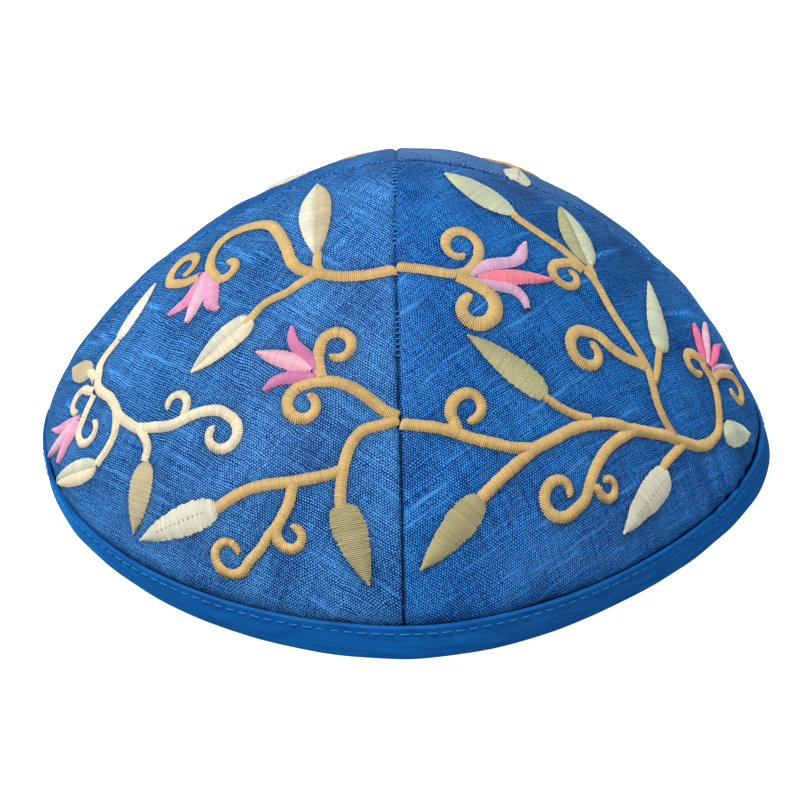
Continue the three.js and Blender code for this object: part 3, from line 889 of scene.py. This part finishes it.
def padding_mesh(name, lines):
    """Domed ribbons under the stitches, so that no silk shows between fanned threads."""
    points, quads, colours, start = [], [], [], 0
    offsets = np.array([-0.97, -0.55, 0.0, 0.55, 0.97])
    heights = np.array([-0.1, 0.50, 0.78, 0.50, -0.1])
    for line in lines:
        count = len(line["points"])
        sideways = (line["reach"][:, None] * offsets)[..., None]
        upward = (line["puff"][:, None] * heights - 0.05)[..., None]
        grid = (line["points"][:, None] + line["across"][:, None] * sideways
                + line["outward"][:, None] * upward)
        points.append(grid.reshape(-1, 3))
        quads.append(grid_faces(count, len(offsets), start))
        colours.append(np.repeat(line["thread_colour"], len(offsets), 0))
        start += count * len(offsets)
    mesh = make_mesh(name, np.concatenate(points), np.concatenate(quads))
    mesh.attributes.new("thread_colour", "FLOAT_COLOR", "POINT").data.foreach_set(
        "color", np.concatenate(colours).astype(np.float32).ravel())
    return mesh


# Materials

def new_material(name):
    material = bpy.data.materials.new(name)
    material.use_nodes = True
    tree = material.node_tree
    return material, tree, tree.nodes["Principled BSDF"]


def silk_material(name, look, streaks, dots, tone):
    """Raw silk, plain woven from dark and azure threads: thin streaks of thick weft, a dry sheen.
    The tone multiplies red, green and blue: partly a small difference in dye between the two silks, partly
    painted light, the silk of the front-left gore made lighter as it faces the lamp."""
    material, tree, surface = new_material(name)
    uv = add_node(tree, "ShaderNodeUVMap", uv_map="cloth_mm").outputs[0]
    # The real thread count is near 0.4 mm; drawn a little coarser so that it shows in the render
    pitch = look.weave_pitch / MM
    # The threads wander by a millimetre or two over the gore, and by less from one to the next
    bent = add_node(tree, "ShaderNodeVectorMath",
                    {0: noise(tree, uv, 0.09, 2.0)["Color"], 1: (2.4, 2.4, 0.0), 2: uv},
                    operation="MULTIPLY_ADD").outputs[0]
    laid = add_node(tree, "ShaderNodeVectorMath",
                    {0: noise(tree, uv, 0.8, 1.0)["Color"], 1: (0.45, 0.45, 0.0), 2: bent},
                    operation="MULTIPLY_ADD").outputs[0]
    part = add_node(tree, "ShaderNodeSeparateXYZ", {"Vector": laid}).outputs
    row_turn = calculate(tree, "MULTIPLY", part["Y"], 2 * math.pi / pitch)
    row = calculate(tree, "SINE", row_turn)
    # Every other row is set over by half a step, as in a plain weave
    row_number = calculate(tree, "FLOOR", calculate(tree, "MULTIPLY", part["Y"], 1 / pitch))
    shift = calculate(tree, "MULTIPLY", row_number, math.pi)
    column_turn = calculate(tree, "MULTIPLY_ADD", part["X"], 2 * math.pi / (pitch * 1.1), shift)
    column = calculate(tree, "SINE", column_turn)
    total = calculate(tree, "MULTIPLY_ADD", column, dots, calculate(tree, "MULTIPLY", row, streaks))
    # Slubs, long thin bright wefts of about 14 mm by 0.4 mm, then thick warps, flecks and clouds
    slub = noise(tree, laid, 1.0, 3.0, (0.07, 2.4, 1.0))
    warp = noise(tree, laid, 1.0, 3.0, (1.9, 0.07, 1.0))
    fleck = noise(tree, laid, 1.0, 2.0, (0.9, 2.0, 1.0))
    cloud = noise(tree, uv, 0.075, 3.0)
    for texture, weight in ((slub, 1.3), (warp, 1.1), (fleck, 1.5), (cloud, 1.1)):
        total = calculate(tree, "MULTIPLY_ADD", texture["Fac"], weight, total)
    level = add_node(tree, "ShaderNodeMapRange",
                     {"Value": total, "From Min": 1.71, "From Max": 3.34}).outputs[0]
    ramp = add_node(tree, "ShaderNodeValToRGB", {"Fac": level})
    dark, mid, light = [(*(c * t for c, t in zip(dye, tone)), 1)
                        for dye in (look.silk_dark, look.silk_mid, look.silk_light)]
    ramp.color_ramp.elements[0].color = dark
    ramp.color_ramp.elements[1].color = light
    ramp.color_ramp.elements.new(0.5).color = mid
    # Azure streaks where the weft is thick, about 20 mm long and 0.8 mm wide
    thick = noise(tree, laid, 1.0, 2.0, (0.05, 0.62, 1.0))["Fac"]
    azure = add_node(tree, "ShaderNodeMapRange",
                     {"Value": thick, "From Min": 0.605, "From Max": 0.74, "To Max": 0.52})
    streaked = add_node(tree, "ShaderNodeMix", {"Factor": azure.outputs[0]}, data_type="RGBA")
    tree.links.new(ramp.outputs[0], streaked.inputs["A"])
    streaked.inputs["B"].default_value = linear("4C97E2")
    bump = add_node(tree, "ShaderNodeBump", {"Height": level, "Strength": 0.35, "Distance": 0.10 * MM})
    # Darker with painted shade beside stitches, in the seams and along the binding; the same attribute
    # carries painted shade and highlight patches and the brighter slubs
    painted_shade_slubs = add_node(tree, "ShaderNodeAttribute", attribute_name="painted_shade_and_slubs").outputs["Fac"]
    shaded = add_node(tree, "ShaderNodeVectorMath",
                      {0: streaked.outputs["Result"], "Scale": calculate(tree, "SUBTRACT", 1.0, painted_shade_slubs)},
                      operation="SCALE")
    tree.links.new(shaded.outputs[0], surface.inputs["Base Color"])
    tree.links.new(bump.outputs[0], surface.inputs["Normal"])
    set_inputs(surface, {"Roughness": 0.55, "Specular IOR Level": 0.08, "Sheen Weight": 0.24,
                         "Sheen Roughness": 0.3, "Sheen Tint": linear("489CFC")})
    return material


def binding_material(look):
    """Cotton twill bias tape, pressed flat: even mid blue with a fine slanting rib."""
    material, tree, surface = new_material("Cotton twill binding")
    uv = add_node(tree, "ShaderNodeUVMap", uv_map="cloth_mm").outputs[0]
    part = add_node(tree, "ShaderNodeSeparateXYZ", {"Vector": uv}).outputs
    slant = calculate(tree, "ADD", part["X"], part["Y"])
    rib = calculate(tree, "SINE", calculate(tree, "MULTIPLY", slant, 2 * math.pi / 0.55))
    streak = noise(tree, uv, 1.0, 4.0, (0.12, 0.9, 1.0))["Fac"]
    level = calculate(tree, "MULTIPLY_ADD", rib, 0.07, streak)
    ramp = add_node(tree, "ShaderNodeValToRGB", {"Fac": level})
    ramp.color_ramp.elements[0].position = 0.25
    ramp.color_ramp.elements[1].position = 0.78
    ramp.color_ramp.elements[0].color = (*look.binding_dark, 1)
    ramp.color_ramp.elements[1].color = (*look.binding_light, 1)
    bump = add_node(tree, "ShaderNodeBump", {"Height": level, "Strength": 0.3, "Distance": 0.12 * MM})
    tree.links.new(ramp.outputs[0], surface.inputs["Base Color"])
    tree.links.new(bump.outputs[0], surface.inputs["Normal"])
    set_inputs(surface, {"Roughness": 0.6, "Specular IOR Level": 0.12, "Sheen Weight": 0.6,
                         "Sheen Roughness": 0.45, "Sheen Tint": linear("2E9AF0")})
    return material


def thread_material(name, shade_depth):
    """Rayon embroidery thread: each strand a slightly different tone, with a silky highlight."""
    material, tree, surface = new_material(name)
    dye = add_node(tree, "ShaderNodeAttribute", attribute_name="thread_colour").outputs["Color"]
    shade = add_node(tree, "ShaderNodeAttribute", attribute_name="shade").outputs["Fac"]
    tone = add_node(tree, "ShaderNodeMapRange", {"Value": shade, "To Min": 1 - shade_depth,
                                                 "To Max": 1 + shade_depth * 0.4}).outputs[0]
    # Tone drifts along the thread over about 6 mm
    place = add_node(tree, "ShaderNodeTexCoord").outputs["Object"]
    drift = add_node(tree, "ShaderNodeMapRange",
                     {"Value": noise(tree, place, 160.0, 1.0)["Fac"], "From Min": 0.3, "From Max": 0.7,
                      "To Min": 0.9, "To Max": 1.06}).outputs[0]
    toned = add_node(tree, "ShaderNodeVectorMath",
                     {0: dye, "Scale": calculate(tree, "MULTIPLY", tone, drift)}, operation="SCALE")
    tree.links.new(toned.outputs[0], surface.inputs["Base Color"])
    set_inputs(surface, {"Roughness": 0.5, "Specular IOR Level": 0.25, "Sheen Weight": 0.1})
    return material


# Settings

class SkullcapCloth(bpy.types.PropertyGroup):
    """Sizes and colours of the silk and the binding."""

    weave_pitch: FloatProperty(name="Weave pitch", description="Distance between silk threads",
                               default=0.52 * MM, min=0.2 * MM, subtype="DISTANCE", unit="LENGTH")
    silk_dark: FloatVectorProperty(name="Silk dark", description="Warp threads of the silk",
                                   subtype="COLOR", size=3, min=0, max=1, default=linear("00163F")[:3])
    silk_mid: FloatVectorProperty(name="Silk middle", description="Silk where both threads mix",
                                  subtype="COLOR", size=3, min=0, max=1, default=linear("003C82")[:3])
    silk_light: FloatVectorProperty(name="Silk light", description="Weft threads of the silk",
                                    subtype="COLOR", size=3, min=0, max=1, default=linear("4C9ADA")[:3])
    binding_dark: FloatVectorProperty(name="Binding dark", description="Shaded rib of the binding",
                                      subtype="COLOR", size=3, min=0, max=1, default=linear("034082")[:3])
    binding_light: FloatVectorProperty(name="Binding light", description="Lit rib of the binding",
                                       subtype="COLOR", size=3, min=0, max=1, default=linear("0462AC")[:3])
    steps_across: IntProperty(name="Steps across", description="Cells across a gore at the rim",
                              default=150, min=20, max=160)
    steps_up: IntProperty(name="Steps up", description="Cells from the binding to the crown",
                          default=140, min=20, max=160)


class SkullcapThread(bpy.types.PropertyGroup):
    """Sizes of the embroidery and the sewing stitches."""

    pitch: FloatProperty(name="Stitch pitch", description="Distance between satin stitches",
                         default=0.40 * MM, min=0.2 * MM, subtype="DISTANCE", unit="LENGTH")
    radius: FloatProperty(name="Thread radius", description="Radius of a strand of embroidery thread",
                          default=0.27 * MM, min=0.05 * MM, subtype="DISTANCE", unit="LENGTH")
    variation: FloatProperty(name="Length variation",
                             description="Share by which stitches differ in length",
                             default=0.06, min=0.0, max=0.5, subtype="FACTOR")


# Operators

def dress(piece, slot, *nodes):
    """Says which body a piece rides on, its material slot, which is not used, and the CAD nodes it stands
    for.
    """
    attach(piece, BODY)
    if nodes:
        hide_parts(*nodes)


class SKULLCAP_OT_gores(bpy.types.Operator):
    """Weave the four silk gores"""

    bl_idname = "skullcap.gores"
    bl_label = "Silk Gores"

    def execute(self, context):
        look = context.scene.skullcap_cloth
        # The streaked silk's lighter tone is partly painted light, as the front-left gore faces the lamp,
        # and partly dye; the back-right gore shares it
        lined = silk_material("Raw silk, streaked", look, 0.56, 0.60, (1.34, 1.06, 1.01))
        dotted = silk_material("Raw silk, dotted", look, 0.46, 0.70, (0.66, 0.90, 1.02))
        for gore in GORES:
            piece = new_object("silk_" + gore, gore_mesh(gore, look.steps_across, look.steps_up))
            piece.data.materials.append(lined if gore in ("front_left", "back_right") else dotted)
            dress(piece, "silk_panel", "panel_" + gore)
        return {"FINISHED"}


class SKULLCAP_OT_binding(bpy.types.Operator):
    """Fold the binding round the rim"""

    bl_idname = "skullcap.binding"
    bl_label = "Rim Binding"

    def execute(self, context):
        piece = new_object("folded_binding", binding_mesh(BINDING_STEPS))
        piece.data.materials.append(binding_material(context.scene.skullcap_cloth))
        dress(piece, "rim_binding", "rim_binding")
        return {"FINISHED"}


class SKULLCAP_OT_embroidery(bpy.types.Operator):
    """Stitch the scrolls, leaves and lilies of all four gores"""

    bl_idname = "skullcap.embroidery"
    bl_label = "Embroidery"

    def execute(self, context):
        look = context.scene.skullcap_thread
        groups, padding = {}, {}
        for gore in GORES:
            side = "front" if gore.startswith("front") else "back"
            for group, thread, path, half, puff in chart_lines(gore, 0.4):
                points, across, outward, inside = on_gore(gore, path, half, 0.0)
                if len(points) < 3:
                    continue
                colour = np.tile(linear(thread), (len(points), 1))
                # The thread's own thickness adds to a stitch's reach
                reach = np.maximum(half[inside] - 0.18, 0.15)
                line = {"points": points, "across": across, "outward": outward,
                        "reach": reach, "puff": puff[inside], "thread_colour": colour}
                groups.setdefault((group, side), []).append(line)
                padding.setdefault(side, []).append(line)
        for (group, side), lines in groups.items():
            material = thread_material(f"Rayon thread, {group} {side}", 0.12)
            piece = stitched(f"embroidery_{group}_{side}", lines, material,
                             look.pitch / MM, look.radius / MM, look.variation, SEED)
            dress(piece, group + "_thread")
        core = thread_material("Rayon thread, padding", 0.0)
        for side, lines in padding.items():
            piece = new_object("padding_" + side, padding_mesh("padding_" + side, lines))
            piece.data.materials.append(core)
            dress(piece, "gold_thread")
        return {"FINISHED"}


class SKULLCAP_OT_sewing(bpy.types.Operator):
    """Sew the binding down, draw the seams together and prick the needle holes"""

    bl_idname = "skullcap.sewing"
    bl_label = "Sewing Stitches"

    def execute(self, context):
        look = context.scene.skullcap_thread
        run = np.linspace(0, 4 * QUARTER, 900)
        height = np.full_like(run, BINDING_WIDTH - TOPSTITCH_BELOW_FOLD)
        points = level_point(run, height, np.full_like(run, -(CLEARANCE + BINDING_CLOTH + 0.08)))
        along = np.gradient(points, axis=0)
        outward = np.cross(along, [0, 0, 1])
        rows = [sewn_line(points, along, outward, 0.85, 0.10)]
        piece = stitched("topstitch", rows, thread_material("Sewing thread, binding", 0.1),
                         *TOPSTITCH, SEED)
        dress(piece, "seam_thread")
        rows = []
        for azimuth, first, last in SEAM_STITCHES:
            rise = np.linspace(first, last, 80)
            turned, risen = stray(np.full_like(rise, azimuth * QUARTER), rise, 1)
            gore = GORES[azimuth]
            points, outward = cloth_point(turned, risen, np.full_like(rise, 0.35), gore)
            across = np.cross(outward, np.gradient(points, axis=0))
            rows.append(sewn_line(points, across, outward, 0.36, 0.2))
        # Short khaki threads paint the shade in the needle holes along the ivory leaves
        spines = []
        for gore in GORES:
            for left_thread, right_thread, base, tip, width, _ in GORE_PLAN[gore][2]:
                if left_thread == right_thread == IVORY and width > HOLED_LEAF_WIDTH:
                    share = np.linspace(HOLES_FROM, HOLES_TO, HOLE_POINTS)[:, None]
                    path = np.array(base) + share * (np.array(tip) - np.array(base))
                    half = np.full(HOLE_POINTS, 0.3)
                    points, across, outward, _ = on_gore(gore, path, half, HOLE_LIFT)
                    spines.append(sewn_line(points, across, outward, 0.12, 0.04, KHAKI))
        piece = stitched("needle_holes", spines, thread_material("Thread in shade", 0.3),
                         *NEEDLE_HOLE, SEED)
        dress(piece, "ivory_thread")
        piece = stitched("seam_stitches", rows, thread_material("Sewing thread, seams", 0.2),
                         *SEAM_STITCH, SEED)
        dress(piece, "seam_thread")
        return {"FINISHED"}


class SKULLCAP_OT_stage(bpy.types.Operator):
    """Set the floor, the light and the camera"""

    bl_idname = "skullcap.stage"
    bl_label = "Stage"

    def execute(self, context):
        scene = context.scene
        scene.view_settings.view_transform = "Standard"
        corners = [(-4000, -4000, -0.05), (4000, -4000, -0.05), (4000, 4000, -0.05), (-4000, 4000, -0.05)]
        floor = new_object("floor", make_mesh("floor", corners, [(0, 1, 2, 3)]))
        material, _, surface = new_material("White card")
        set_inputs(surface, {"Base Color": linear("E8E8E8"), "Roughness": 0.9,
                             "Emission Color": (1, 1, 1, 1), "Emission Strength": FLOOR_GLOW})
        floor.data.materials.append(material)
        # The card throws no light up on the cap, which the photograph shows dark towards its rim
        floor.visible_diffuse = False
        floor.visible_glossy = False

        world = bpy.data.worlds.new("Soft white room")
        world.use_nodes = True
        set_inputs(world.node_tree.nodes["Background"],
                   {"Color": ROOM_COLOUR, "Strength": ROOM_STRENGTH})
        scene.world = world

        for name, place, size, power in LAMPS:
            lamp = bpy.data.lights.new(name, "AREA")
            lamp.shape, lamp.size, lamp.energy = "DISK", size * MM, power
            holder = new_object(name, lamp)
            holder.location = [p * MM for p in place]
            toward = np.array([0, 0, 30]) - np.array(place)
            holder.rotation_euler = (math.atan2(math.hypot(toward[0], toward[1]), -toward[2]), 0,
                                     math.atan2(toward[1], toward[0]) - QUARTER)

        camera = bpy.data.cameras.new("camera")
        camera.lens = CAMERA_LENS
        camera.sensor_width = 36
        camera.clip_start, camera.clip_end = 0.01, 50
        holder = new_object("camera", camera)
        lean = math.radians(CAMERA_ELEVATION)
        holder.location = [CAMERA_AIM[0] * MM, (CAMERA_AIM[1] - CAMERA_DISTANCE * math.cos(lean)) * MM,
                           (CAMERA_AIM[2] + CAMERA_DISTANCE * math.sin(lean)) * MM]
        holder.rotation_euler = (QUARTER - lean, 0, 0)
        scene.camera = holder
        return {"FINISHED"}


class SKULLCAP_PT_panel(bpy.types.Panel):
    """Lists the skullcap's settings and makers"""

    bl_label = "Skullcap"
    bl_space_type = "VIEW_3D"
    bl_region_type = "UI"
    bl_category = "Skullcap"

    def draw(self, context):
        for group in (context.scene.skullcap_cloth, context.scene.skullcap_thread):
            for name in group.__annotations__:
                self.layout.prop(group, name)
        for maker in MAKERS:
            self.layout.operator(maker.bl_idname)


MAKERS = (SKULLCAP_OT_gores, SKULLCAP_OT_binding, SKULLCAP_OT_embroidery, SKULLCAP_OT_sewing,
          SKULLCAP_OT_stage)
CLASSES = (SkullcapCloth, SkullcapThread, *MAKERS, SKULLCAP_PT_panel)


def register():
    for item in CLASSES:
        bpy.utils.register_class(item)
    bpy.types.Scene.skullcap_cloth = PointerProperty(type=SkullcapCloth)
    bpy.types.Scene.skullcap_thread = PointerProperty(type=SkullcapThread)


def unregister():
    del bpy.types.Scene.skullcap_thread
    del bpy.types.Scene.skullcap_cloth
    for item in reversed(CLASSES):
        bpy.utils.unregister_class(item)


def main():
    register()
    bpy.ops.skullcap.gores()
    bpy.ops.skullcap.binding()
    bpy.ops.skullcap.embroidery()
    bpy.ops.skullcap.sewing()
    bpy.ops.skullcap.stage()


if __name__ == "__main__":
    main()
